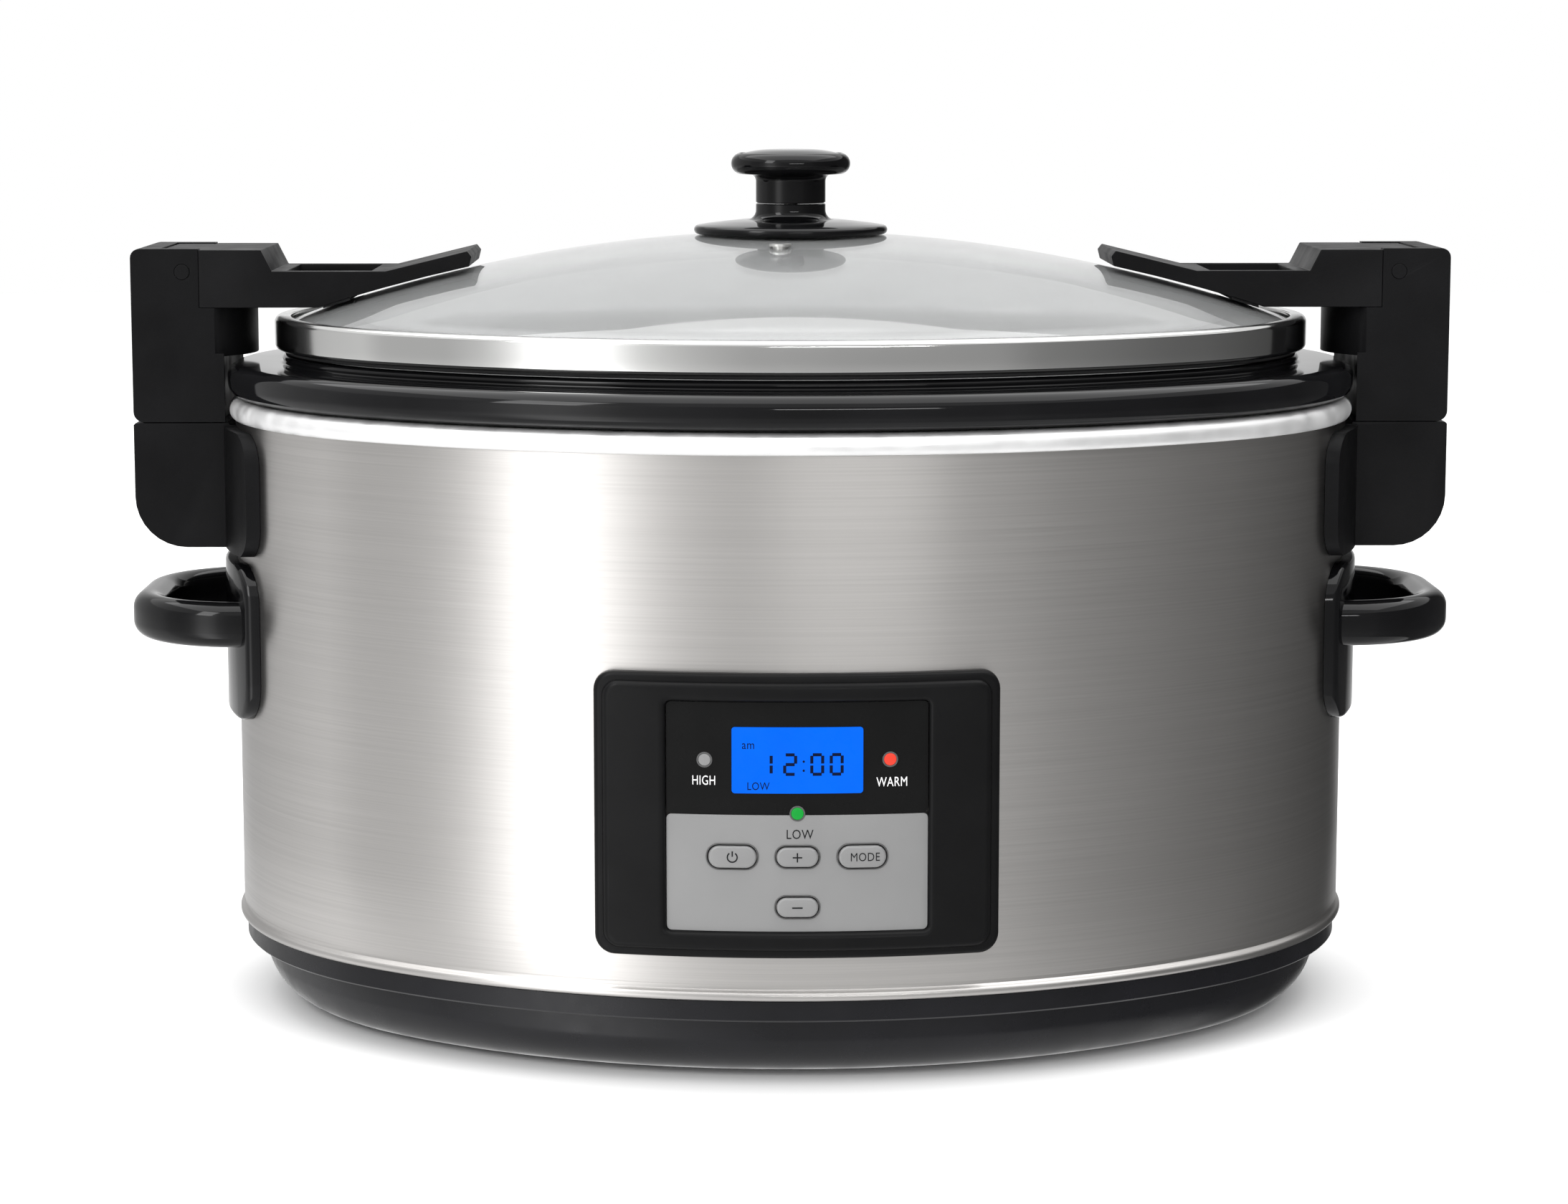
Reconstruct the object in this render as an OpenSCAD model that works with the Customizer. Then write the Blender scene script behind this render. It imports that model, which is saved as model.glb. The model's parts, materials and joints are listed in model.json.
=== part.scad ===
// Oval slow cooker with a programmable panel, a lift-out crock and a lid held by two side clips.
// +X is to the right, the front faces -Y, +Z is up. The origin is on the floor under the centre.

/* [Housing] */
// Half length of the steel wall
body_a = 186.5; // [184:0.5:189]
// Half depth of the steel wall, front to back
body_b = 148; // [146:0.5:150]
// Half angle of each end arc of the oval
arc_half = 52; // [50:1:54]
// Height at which the steel wall starts
wall_z0 = 28; // [26:0.5:30]
// Height at which the steel wall ends
wall_z1 = 196.4; // [195:0.2:197]
// Thickness of the steel wall
steel_t = 0.8; // [0.6:0.1:1]
// Clearance of the base pan above the floor
foot_h = 1.2; // [1:0.1:3]
// Wall of the moulded base pan
pan_t = 2.5; // [2:0.25:3]

/* [Crock and lid] */
// Gap between the housing's outline and the outside of the crock's wall
crock_inset = 26; // [25:0.5:28]
// Thickness of the crock's wall
crock_t = 6; // [5:0.5:7]
// Height of the crock's underside
crock_z0 = 46; // [45:0.5:48]
// Height of the top of the lid's glass at its centre
dome_z = 256.5; // [255:0.5:258]
// Rise of the glass from its edge to its centre
dome_rise = 29.9; // [28:0.1:31]
// Thickness of the glass
glass_t = 4; // [3.5:0.5:4.5]
// Radius of the knob's cap
knob_r = 20; // [18:0.5:22]
// Height of the top of the knob
knob_z1 = 284; // [282:0.5:286]

/* [Side clips] */
// Width of each clip, front to back
clip_w = 50; // [46:1:54]
// Distance of the clip's outer face from the centre
clip_out = 218; // [217:0.2:219]
// Height of the top of the lower bracket
lug_z1 = 194.4; // [193:0.2:195]
// Radius of the hinge pin
hinge_r = 1.5; // [1.2:0.1:1.8]
// Radial clearance of a running pin
pin_gap = 0.05; // [0.02:0.01:0.08]

/* [Control panel] */
// Width of the bezel
bezel_w = 124; // [118:1:126]
// Height of the bezel
bezel_h = 88; // [84:1:90]
// Height of the bezel's centre above the floor
panel_z = 86; // [85:0.5:87]
// Width of the recess inside the bezel
recess_w = 80; // [78:1:82]
// Height of the recess inside the bezel
recess_h = 71; // [69:1:73]
// Width of the display window
window_w = 40; // [36:1:44]
// Height of the display window
window_h = 20.4; // [18:0.2:22]
// Travel of a button
press = 0.6; // [0.4:0.1:0.8]

/* [Hidden] */

// Four-centred oval: two end arcs and two side arcs that meet tangentially
arc_k = (1 - sin(arc_half)) / cos(arc_half);
end_r = (body_b - body_a * arc_k) / (1 - arc_k);
end_c = body_a - end_r;
side_r = end_r + end_c / cos(arc_half);
side_c = end_c * tan(arc_half);

round_fn = 96;    // segments of turned shapes
small_fn = 32;    // segments of small shapes

pan_z0 = foot_h;
pan_step_z = 21;          // underside of the pan's band
pan_band_in = 1;          // how far the band sits inside the steel wall
bowl_in = 7;              // inset of the bowl under the band
bowl_run = 15;            // how far the bowl curves inwards on its way down
ring_top = 202.6;         // top of the rolled rim
ring_r = 3.9;             // radius of the roll
flange_z0 = 203;          // underside of the crock's flange
flange_out = 2.3;         // how far the flange stands out of the steel wall
flange_z1 = 214;          // top of the crock's flange
lip_z1 = 217;             // top of the lip that carries the lid
liner_gap = 2.8;          // space between the crock and its heating liner
liner_in = crock_inset - liner_gap;   // inset of the liner's inner face
liner_z0 = 42;
stud_x = 70;              // tie studs stand at this distance from the centre
hinge_x = clip_out - 3.4;
hinge_z = lug_z1 + 3.8;
post_z0 = lug_z1 + 0.3;
lid_off = -13.6;          // outer face of the lid's band
glass_off = -16;          // edge of the glass
glass_a = body_a + glass_off;
glass_b = body_b + glass_off;
board_y = -141.8;         // front face of the control board
switch_h = 2.8;           // height of a switch under a button
handle_screw = 4.6;       // length of a handle's screw
lug_screw = 14;           // length of a bracket's screw
button_out = 4.4;         // how far a button's face stands out of the steel wall
fascia_out = 3.2;         // how far the recessed fascias stand out of the steel wall
bezel_out = 5;            // how far the bezel stands out of the steel wall

black = [0.08, 0.08, 0.09];
gloss = [0.03, 0.03, 0.03];
steel = [0.66, 0.65, 0.64];
silver = [0.68, 0.68, 0.69];

// Button list: x, z, width, height, each from the panel's centre
BUTTONS = [[-19.8, -12.2, 14.6, 6.8], [0, -12.2, 12.6, 6], [0, -27.8, 12.6, 6], [19.8, -12.2, 14.4, 6.8]];
LEDS = [[-28.2, 17.6], [0, 1.2], [28.2, 17.6]];
led_r = 1.9;

// ---- helpers ----

// A closed ring round the oval. The profile's x is the offset from the oval, its y the height.
module oval_ring() {
  for (half = [0, 180]) rotate(half) {
    translate([end_c, 0, 0])
      rotate_extrude(angle = 2 * arc_half, start = -arc_half, $fn = round_fn)
        translate([end_r, 0]) children();
    translate([0, -side_c, 0])
      rotate_extrude(angle = 180 - 2 * arc_half, start = arc_half, $fn = round_fn * 2)
        translate([side_r, 0]) children();
  }
}

// A flat oval plate
module oval_plate(off, z0, z1) {
  for (half = [0, 180]) rotate(half) {
    translate([end_c, 0, z0])
      rotate_extrude(angle = 2 * arc_half, start = -arc_half, $fn = round_fn) square([end_r + off, z1 - z0]);
    translate([0, -side_c, z0])
      rotate_extrude(angle = 180 - 2 * arc_half, start = arc_half, $fn = round_fn * 2)
        square([side_r + off, z1 - z0]);
  }
}

function arc_points(cx, cy, r, a0, a1, n = 8) =
  [for (i = [0:n]) let (a = a0 + (a1 - a0) * i / n) [cx + r * cos(a), cy + r * sin(a)]];
function curve_points(cx, cy, rx, ry, a0, a1, n = 8) =
  [for (i = [0:n]) let (a = a0 + (a1 - a0) * i / n) [cx + rx * cos(a), cy + ry * sin(a)]];
function rounded_rect(w, h, r, n = 6) = concat(
  arc_points(w / 2 - r, h / 2 - r, r, 0, 90, n), arc_points(r - w / 2, h / 2 - r, r, 90, 180, n),
  arc_points(r - w / 2, r - h / 2, r, 180, 270, n), arc_points(w / 2 - r, r - h / 2, r, 270, 360, n));

// Point of the oval, offset by off, where the outward normal points at angle t
function oval_point(t, off) =
  let (ends = abs(sin(t)) < sin(arc_half), s = cos(t) > 0 ? 1 : -1, v = sin(t) > 0 ? 1 : -1)
  ends ? [s * end_c + (end_r + off) * cos(t), (end_r + off) * sin(t)]
       : [(side_r + off) * cos(t), -v * side_c + (side_r + off) * sin(t)];

// Part of the curved front wall between two offsets, cut to an outline in the X and Z directions
module front_shell(off0, off1) {
  intersection() {
    translate([0, side_c, 0]) difference() {
      cylinder(r = side_r + off1, h = 160, $fn = round_fn * 2);
      translate([0, 0, -1]) cylinder(r = side_r + off0, h = 162, $fn = round_fn * 2);
    }
    translate([0, -100, panel_z]) rotate([90, 0, 0]) linear_extrude(80) children();
  }
}

module at_panel(y) { translate([0, y, panel_z]) rotate([90, 0, 0]) children(); }

module pan_screw(r, len) {
  cylinder(r = r, h = len, $fn = small_fn);
  translate([0, 0, -1.2 * r]) cylinder(r = 1.9 * r, h = 1.2 * r, $fn = small_fn);
}

// ---- base ----

module base_pan() {
  cx = -bowl_in - bowl_run;
  bowl_h = pan_step_z - pan_z0;
  bowl = curve_points(cx, pan_step_z, bowl_run, bowl_h, -22, -90, 5);
  bowl_inner = curve_points(cx, pan_step_z + pan_t, bowl_run - pan_t, bowl_h, -90, -22, 5);
  color(black) difference() {
    union() {
      oval_ring() polygon(concat(
        [[-pan_band_in, wall_z0 - 0.1], [-pan_band_in, pan_step_z], [bowl[0][0], pan_step_z]], bowl,
        [[cx - 6, pan_z0], [cx - 6, pan_z0 + pan_t]], bowl_inner, [[bowl_inner[5][0], pan_step_z + pan_t],
        [-pan_band_in - pan_t, pan_step_z + pan_t], [-pan_band_in - pan_t, wall_z0 - 0.1]]));
      oval_plate(cx - 3, pan_z0, pan_z0 + pan_t);
      for (s = [-1, 1]) translate([s * stud_x, 0, pan_z0]) cylinder(r = 6, h = 12, $fn = small_fn);
      for (x = [-32, 32], y = [-48, 48]) translate([x, y, pan_z0]) cylinder(r = 4, h = 10, $fn = small_fn);
    }
    for (s = [-1, 1]) translate([s * stud_x, 0, -1]) {
      cylinder(r = 2.2, h = 20, $fn = small_fn);
      cylinder(r = 5.2, h = 1 + pan_z0 + 4, $fn = small_fn);
    }
    for (x = [-110, 110], y = [-62, 62]) translate([x, y, 0]) cylinder(r = 3, h = 10, $fn = small_fn);
    for (x = [-32, 32], y = [-48, 48]) translate([x, y, pan_z0 + pan_t]) cylinder(r = 1.2, h = 10, $fn = small_fn);
    for (i = [-4:4]) translate([i * 9 - 1.5, -28, 0]) cube([3, 56, 8]);
  }
}

module feet() {
  color([0.12, 0.12, 0.12]) for (x = [-110, 110], y = [-62, 62]) translate([x, y, 0]) {
    cylinder(r = 9, h = foot_h, $fn = small_fn);
    cylinder(r = 2.95, h = foot_h + pan_t + 1.5, $fn = small_fn);
  }
}

module tie_studs() {
  color(steel) for (s = [-1, 1]) translate([s * stud_x, 0, pan_z0 + 1.2]) {
    cylinder(r = 2, h = liner_z0 - pan_z0 - 1.2, $fn = small_fn);
    translate([0, 0, liner_z0 - pan_z0 - 2.7]) cylinder(r = 5, h = 1.5, $fn = small_fn);
  }
}

module tie_nuts() {
  color(steel) for (s = [-1, 1]) translate([s * stud_x, 0, pan_z0 + 1]) difference() {
    cylinder(r = 4.4, h = 3, $fn = 6);
    translate([0, 0, -1]) cylinder(r = 2.05, h = 6, $fn = small_fn);
  }
}

// ---- housing ----

module wall_hole() { translate([0, 0, -3]) cylinder(r = 2.1, h = 12, $fn = small_fn); }
module pilot_hole(len) { cylinder(r = 1.3, h = len, $fn = small_fn); }

module housing_wall() {
  bead_r = 1.6;
  bead_z = wall_z0 + bead_r * sin(70);
  color(steel) difference() {
    oval_ring() polygon(concat([[-steel_t, wall_z0]], arc_points(-0.3, bead_z, bead_r, -70, 70, 5),
      [[-0.3, wall_z0 + 3.6], [-0.3, wall_z0 + 4.6], [0, wall_z0 + 5], [0, wall_z1], [-steel_t, wall_z1]]));
    at_panel(-120) linear_extrude(60) polygon(rounded_rect(recess_w + 2, recess_h + 2, 2.5));
    translate([0, 120, 46]) rotate([-90, 0, 0]) cylinder(r = 6, h = 60, $fn = small_fn);
    handle_screw_places() wall_hole();
    lug_screw_places() wall_hole();
  }
}

// Places a screw, its head against the inside of the wall, at both ends of the oval
module side_screws(y_out, z) {
  for (s = [0, 180], y = [-y_out, y_out]) rotate(s)
    translate([end_c + sqrt(pow(end_r - steel_t, 2) - y * y) - 0.6, y, z]) rotate([0, 90, 0]) children();
}
module handle_screw_places() { side_screws(24, 112) children(); }
module lug_screw_places() { side_screws(16, 172) children(); }

module rim_ring() {
  cx = 2 - ring_r;
  cz = ring_top - ring_r;
  color([0.9, 0.9, 0.9]) oval_ring() polygon(concat([[-6, ring_top]], arc_points(cx, cz, ring_r, 90, 15, 4),
    arc_points(cx, cz, ring_r, -15, -45, 2), [[0.3, cz - ring_r * sin(45)], [0.3, 197.4], [-6, 197.4]]));
}

module heating_liner() {
  color(silver) {
    cx = -liner_in - 12;
    oval_ring() polygon(concat(
      [[-0.4, 197.3], [-liner_in, 197.3]], arc_points(cx, liner_z0 + 12.8, 12, 0, -90, 4),
      [[cx - 6, liner_z0 + 0.8], [cx - 6, liner_z0]], arc_points(cx, liner_z0 + 12.8, 12.8, -90, 0, 4),
      [[-liner_in + 0.8, 196.5], [-0.4, 196.5]]));
    oval_plate(cx - 3, liner_z0, liner_z0 + 0.8);
  }
}

module heater_band() {
  color([0.75, 0.7, 0.6]) oval_ring() translate([-liner_in + 0.85, 66]) square([1.8, 62]);
}

module temperature_sensor() {
  color(steel) {
    translate([0, 0, 30]) cylinder(r = 4, h = liner_z0 - 30.05, $fn = small_fn);
    translate([0, 0, 34]) cylinder(r = 9, h = 1, $fn = small_fn);
  }
}

module thermal_fuse() {
  color(silver) translate([0, 62, liner_z0 - 2.6]) rotate([0, 90, 0]) {
    translate([0, 0, -7]) cylinder(r = 2.4, h = 14, $fn = small_fn);
    translate([0, 0, -15]) cylinder(r = 0.6, h = 30, $fn = small_fn);
  }
}

// ---- control panel ----

module control_bezel() {
  color([0.16, 0.16, 0.17]) difference() {
    union() {
      front_shell(0.05, 3.4) polygon(rounded_rect(bezel_w, bezel_h, 6));
      front_shell(0.05, bezel_out) polygon(rounded_rect(bezel_w - 5, bezel_h - 5, 5));
      front_shell(-6, 1) polygon(rounded_rect(recess_w + 1.6, recess_h + 1.6, 2.3));
    }
    at_panel(-120) linear_extrude(60) polygon(rounded_rect(recess_w, recess_h, 1.5));
  }
}

module button_cuts(gap) {
  for (b = BUTTONS) translate([b[0], b[1]]) polygon(rounded_rect(b[2] + gap, b[3] + gap, (b[3] + gap) / 2 - 0.1));
}

split_z = 0.8;   // height of the line between the two fascias, from the panel's centre

module display_fascia() {
  h = recess_h / 2 - split_z;
  color([0.12, 0.12, 0.12]) front_shell(0.6, fascia_out) difference() {
    translate([0, split_z + h / 2]) polygon(rounded_rect(recess_w - 0.4, h - 0.2, 1.5));
    translate([0, 17.6]) polygon(rounded_rect(window_w, window_h, 1));
    for (i = [0, 2]) translate(LEDS[i]) circle(r = led_r, $fn = small_fn);
    translate(LEDS[1]) circle(r = led_r, $fn = small_fn);
  }
}

module button_fascia() {
  h = recess_h / 2 + split_z;
  color(silver) front_shell(0.6, fascia_out) difference() {
    translate([0, split_z - h / 2]) polygon(rounded_rect(recess_w - 0.4, h - 0.2, 1.5));
    button_cuts(0.7);
    translate(LEDS[1]) circle(r = led_r, $fn = small_fn);
  }
}

module display_window() {
  color([0.05, 0.4, 0.95]) front_shell(0.6, fascia_out + 0.3)
    translate([0, 17.6]) polygon(rounded_rect(window_w - 0.1, window_h - 0.1, 1));
}

module led(i, tint) {
  color(tint) front_shell(-3, fascia_out + 0.4)
    translate(LEDS[i]) circle(r = led_r - 0.05, $fn = small_fn);
}
module led_high() { led(0, [0.6, 0.6, 0.6]); }
module led_low() { led(1, [0.1, 0.75, 0.25]); }
module led_warm() { led(2, [0.85, 0.1, 0.08]); }

module control_board() {
  color([0.1, 0.4, 0.2]) difference() {
    at_panel(board_y + 1.6) linear_extrude(1.6) polygon(rounded_rect(74, 66, 2));
    for (x = [-33, 33], z = [-29, 29]) translate([x, board_y + 10, panel_z + z])
      rotate([90, 0, 0]) cylinder(r = 1.6, h = 20, $fn = small_fn);
  }
}

module board_screws() {
  color(steel) for (x = [-33, 33], z = [-29, 29]) translate([x, board_y + 1.65, panel_z + z])
    rotate([90, 0, 0]) pan_screw(1.5, 5.2);
}

module tact_switches() {
  color([0.2, 0.2, 0.2]) for (b = BUTTONS) translate([b[0] - 2.5, board_y - switch_h, panel_z + b[1] - 2.5])
    cube([5, switch_h, 5]);
}

module button(i) {
  b = BUTTONS[i];
  color([0.8, 0.8, 0.8]) {
    front_shell(0.2, button_out) translate([b[0], b[1]]) polygon(rounded_rect(b[2], b[3], b[3] / 2 - 0.1));
    translate([b[0], board_y - switch_h - press - 0.3, panel_z + b[1]]) rotate([90, 0, 0])
      cylinder(r = 1.5, h = 3.8, $fn = small_fn);
  }
}
module power_button() { button(0); }
module plus_button() { button(1); }
module minus_button() { button(2); }
module mode_button() { button(3); }

// ---- electrics under the liner ----

power_z = pan_z0 + 10;

module power_board() {
  color([0.1, 0.4, 0.2]) difference() {
    translate([-40, -56, power_z]) cube([80, 112, 1.6]);
    for (x = [-32, 32], y = [-48, 48]) translate([x, y, power_z - 1]) cylinder(r = 1.6, h = 4, $fn = small_fn);
  }
}
module power_board_screws() {
  color(steel) for (x = [-32, 32], y = [-48, 48]) translate([x, y, power_z + 1.6]) mirror([0, 0, 1])
    pan_screw(1.15, 8);
}
module relay() { color([0.1, 0.25, 0.6]) translate([-30, 14, power_z + 1.6]) cube([19, 15.5, 15]); }
module transformer() {
  color([0.75, 0.65, 0.2]) translate([8, -34, power_z + 1.6]) {
    cube([26, 22, 16]);
    translate([-3, 4, 0]) cube([32, 14, 12]);
  }
}
module terminal_block() { color([0.9, 0.9, 0.85]) translate([-12, 70, pan_z0 + pan_t]) cube([24, 14, 12]); }

module cord_gland() {
  color(black) translate([0, body_b, 46]) rotate([90, 0, 0]) difference() {
    union() {
      translate([0, 0, -5]) cylinder(r = 9, h = 5 - 0.1, $fn = round_fn);
      translate([0, 0, -1]) cylinder(r = 5.9, h = 11, $fn = round_fn);
    }
    translate([0, 0, -6]) cylinder(r = 3.5, h = 20, $fn = round_fn);
  }
}

// ---- side handles ----

module handle_plate_outline(w, h, r) { polygon(rounded_rect(h, w, r)); }

module right_handle() {
  loop_z = 130;
  loop_h = 15;
  color(gloss) difference() {
    union() {
      intersection() {
        oval_ring() translate([0.1, 96]) square([4, 56]);
        translate([150, 0, 124]) rotate([0, 90, 0]) linear_extrude(60) handle_plate_outline(112, 52, 14);
      }
      translate([0, 0, loop_z - loop_h / 2]) linear_extrude(loop_h) difference() {
        translate([181, 0]) polygon(rounded_rect(80, 104, 39));
        translate([180, 0]) polygon(rounded_rect(60, 82, 29));
        circle(r = 179, $fn = 48);
      }
    }
    oval_ring() translate([-20, 90]) square([20.1, 70]);
    handle_screw_places() pilot_hole(handle_screw + 0.5);
  }
}
module left_handle() { mirror([1, 0, 0]) right_handle(); }

module handle_screws() {
  color(steel) handle_screw_places() pan_screw(1.25, handle_screw);
}

// ---- lower clip brackets ----

module right_lug() {
  lug_z0 = 153;
  corner = 17;
  color(black) difference() {
    union() {
      translate([0, clip_w / 2, 0]) rotate([90, 0, 0]) linear_extrude(clip_w)
        polygon(concat([[180, lug_z1], [180, lug_z0]],
          arc_points(clip_out - corner, lug_z0 + corner, corner, -90, 0, 8), [[clip_out, lug_z1 - 0.6],
          [clip_out - 0.6, lug_z1]]));
      intersection() {
        oval_ring() translate([0.1, lug_z0]) square([4, lug_z1 - lug_z0 - 1]);
        translate([120, 0, lug_z0 + 20]) rotate([0, 90, 0]) linear_extrude(80) polygon(rounded_rect(41, 116, 10));
      }
      translate([hinge_x, 10, hinge_z]) rotate([90, 0, 0]) cylinder(r = 3, h = 20, $fn = small_fn);
      translate([hinge_x - 3, -10, lug_z1 - 1]) cube([5.3, 20, hinge_z - lug_z1 + 1]);
    }
    oval_ring() translate([-20, 140]) square([20.1, 60]);
    oval_ring() translate([-20, 194 - 0.3]) square([22.4, 4]);
    translate([hinge_x, 20, hinge_z]) rotate([90, 0, 0]) cylinder(r = hinge_r + pin_gap, h = 40, $fn = small_fn);
    lug_screw_places() pilot_hole(lug_screw + 0.5);
  }
}
module left_lug() { mirror([1, 0, 0]) right_lug(); }

module lug_screws() {
  color(steel) lug_screw_places() pan_screw(1.25, lug_screw);
}

module right_hinge_pin() {
  color(steel) translate([hinge_x, clip_w / 2 - 3, hinge_z]) rotate([90, 0, 0])
    cylinder(r = hinge_r, h = clip_w - 6, $fn = small_fn);
}
module left_hinge_pin() { mirror([1, 0, 0]) right_hinge_pin(); }

// ---- swinging clips ----

post_in = 190.8;      // inner face of the post beside the rim
web_in = 179.4;       // innermost line of the web above the crock's flange
web_r = 33.6;         // radius of the web's rounded inner face
web_z0 = 216.4;       // underside of the web
shoulder_x = 195.6;   // where the post's top meets the arm's shoulder
arm_z0 = 232.6;       // underside of the arm
arm_z1 = 244.6;       // top of the arm
clip_top = 252;
arm_pin = [201, 244.4];
foot_x = 156;         // where the arm's underside lifts off the lid
foot_gap = 1.3;       // space between the arm and the glass, which the pad fills

module clip_slab(w) { translate([0, w / 2, 0]) rotate([90, 0, 0]) linear_extrude(w) children(); }

module right_clip_post() {
  color(black) difference() {
    union() {
      clip_slab(clip_w) polygon(concat([[post_in, post_z0]],
        arc_points(hinge_x, post_z0 + 3.4, 3.4, -90, 0, 6),
        arc_points(clip_out - 3, clip_top - 3, 3, 0, 90, 5),
        [[shoulder_x, clip_top], [shoulder_x, arm_z0 - 0.1], [post_in, arm_z0 - 0.1]]));
      intersection() {
        translate([web_in + web_r, 0, web_z0]) cylinder(r = web_r, h = arm_z0 - 0.1 - web_z0, $fn = round_fn);
        translate([170, -clip_w / 2, 200]) cube([25, clip_w, 60]);
      }
      difference() {
        translate([184, -clip_w / 2, post_z0]) cube([post_in - 183, clip_w, web_z0 - post_z0 + 1]);
        oval_plate(flange_out + 1.2, post_z0 - 4, web_z0 + 6);
      }
    }
    translate([hinge_x, clip_w / 2 - 3, hinge_z]) rotate([90, 0, 0])
      cylinder(r = hinge_r + pin_gap, h = clip_w - 6, $fn = small_fn);
    translate([hinge_x, 10.4, hinge_z]) rotate([90, 0, 0]) cylinder(r = 4.4, h = 20.8, $fn = small_fn);
    translate([hinge_x - 4.4, -10.4, post_z0 - 1]) cube([8.8, 20.8, hinge_z - post_z0 + 1]);
    translate([shoulder_x - 1, -20, arm_z0 - 0.1]) cube([14, 40, 30]);
    translate([arm_pin[0], clip_w, arm_pin[1]]) rotate([90, 0, 0])
      cylinder(r = 2.5 + pin_gap, h = 2 * clip_w, $fn = small_fn);
  }
}
module left_clip_post() { mirror([1, 0, 0]) right_clip_post(); }

// Height of the glass above the long axis
function dome_height(x) = dome_z - dome_rise * pow(x / glass_a, 2);

module right_clip_arm() {
  tip_x = 106;
  under = [for (i = [0:7]) let (x = tip_x + 0.4 + (foot_x - tip_x) * i / 7) [x, dome_height(x) + foot_gap]];
  color(black) difference() {
    union() {
      clip_slab(clip_w) polygon(concat(
        under, [[foot_x + 6, arm_z0], [shoulder_x - 0.1, arm_z0], [shoulder_x - 0.1, clip_top - 0.4],
        [175, clip_top - 0.4], [171.5, arm_z1], [134, arm_z1], [tip_x + 1, 251.2], [tip_x - 0.4, 249.4]]));
      translate([shoulder_x - 2, -19.7, arm_z0]) cube([14.4, 39.4, clip_top - 0.4 - arm_z0]);
    }
    translate([arm_pin[0], clip_w, arm_pin[1]]) rotate([90, 0, 0])
      cylinder(r = 2.5 + pin_gap, h = 2 * clip_w, $fn = small_fn);
    translate([0, 0, arm_z1 - 2.4]) linear_extrude(10) polygon([[139, 4 - clip_w / 2],
      [167, 4 - clip_w / 2], [167, clip_w / 2 - 4], [139, clip_w / 2 - 4]]);
  }
}
module left_clip_arm() { mirror([1, 0, 0]) right_clip_arm(); }

module right_arm_pin() {
  color([0.15, 0.15, 0.15]) translate([arm_pin[0], clip_w / 2 + 0.2, arm_pin[1]]) rotate([90, 0, 0])
    cylinder(r = 2.5, h = clip_w + 0.4, $fn = small_fn);
}
module left_arm_pin() { mirror([1, 0, 0]) right_arm_pin(); }

module right_clip_pad() {
  pad_x = foot_x - 10;
  color([0.25, 0.25, 0.25]) clip_slab(clip_w - 6) polygon([for (p = [[pad_x, 0.4], [foot_x - 1, 0.4],
    [foot_x - 1, foot_gap - 0.1], [pad_x, foot_gap - 0.1]]) [p[0], dome_height(p[0]) + p[1]]]);
}
module left_clip_pad() { mirror([1, 0, 0]) right_clip_pad(); }

// ---- crock ----

module crock() {
  corner = 22;
  out = -crock_inset;
  in = -crock_inset - crock_t;
  floor_t = 8;
  color(gloss) {
    oval_ring() polygon(concat(
      [[out - corner - 6, crock_z0]], arc_points(out - corner, crock_z0 + corner, corner, -90, 0, 4),
      [[out, flange_z0]],
      arc_points(flange_out - 4.5, flange_z0 + 4.5, 4.5, -90, 0, 4),
      arc_points(flange_out - 4.5, flange_z1 - 4.5, 4.5, 0, 90, 4),
      [[-16, flange_z1]], arc_points(-17.6, lip_z1 - 1.6, 1.6, 0, 90, 4),
      arc_points(-23, lip_z1 - 2.4, 2.4, 90, 180, 4), [[in, 203]], arc_points(in - corner + 4, crock_z0 + floor_t + corner - 4, corner - 4, 0, -90, 4),
      [[out - corner - 6, crock_z0 + floor_t]]));
    oval_plate(out - corner - 3, crock_z0, crock_z0 + floor_t);
  }
}

// ---- lid ----

eyelet = [-4, -44];       // centre of the steam vent
eyelet_r = 2.4;
eyelet_z = dome_z - dome_rise * pow(44 / glass_b, 2);
lid_rings = 9;
lid_steps = 64;
knob_hole = 3.3;

// Ring of points at relative size s from the centre: a circle at the knob's hole, an oval further out
function lid_ring(s, dz) = [for (i = [0:lid_steps - 1])
  let (t = 360 * i / lid_steps, p = oval_point(t, glass_off),
       q = s == 0 ? knob_hole * [cos(t), sin(t)] : p * (0.06 + 0.94 * s), f = s == 0 ? 0 : 0.06 + 0.94 * s)
  [q[0], q[1], dome_z - dome_rise * f * f - dz]];

module lid_glass() {
  n = lid_steps;
  m = lid_rings;
  top = [for (j = [0:m]) each lid_ring(j / m, 0)];
  low = [for (j = [0:m]) each lid_ring(j / m, glass_t)];
  base = n * (m + 1);
  skin = [for (j = [0:m - 1], i = [0:n - 1]) let (k = (i + 1) % n)
    each [[j * n + i, (j + 1) * n + k, (j + 1) * n + i], [j * n + i, j * n + k, (j + 1) * n + k],
          [base + j * n + i, base + (j + 1) * n + i, base + (j + 1) * n + k],
          [base + j * n + i, base + (j + 1) * n + k, base + j * n + k]]];
  walls = [for (i = [0:n - 1]) let (k = (i + 1) % n)
    each [[i, base + i, base + k], [i, base + k, k],
          [m * n + i, base + m * n + k, base + m * n + i], [m * n + i, m * n + k, base + m * n + k]]];
  color([0.8, 0.85, 0.85, 0.5]) difference() {
    polyhedron(concat(top, low), concat(skin, walls), convexity = 4);
    translate([eyelet[0], eyelet[1], eyelet_z - 12]) cylinder(r = eyelet_r + 0.1, h = 24, $fn = 24);
  }
}

module lid_band() {
  color(steel) oval_ring() polygon(concat(
    [[glass_off, 218.6]], arc_points(lid_off - 1.5, 220.1, 1.5, -90, 0, 4),
    arc_points(lid_off - 2, 227.4, 2, 0, 90, 5),
    [[-19, 229.4], [-19, 228.3], [-14.9, 228.3], [-14.9, 219.8], [glass_off, 219.8]]));
}

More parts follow.
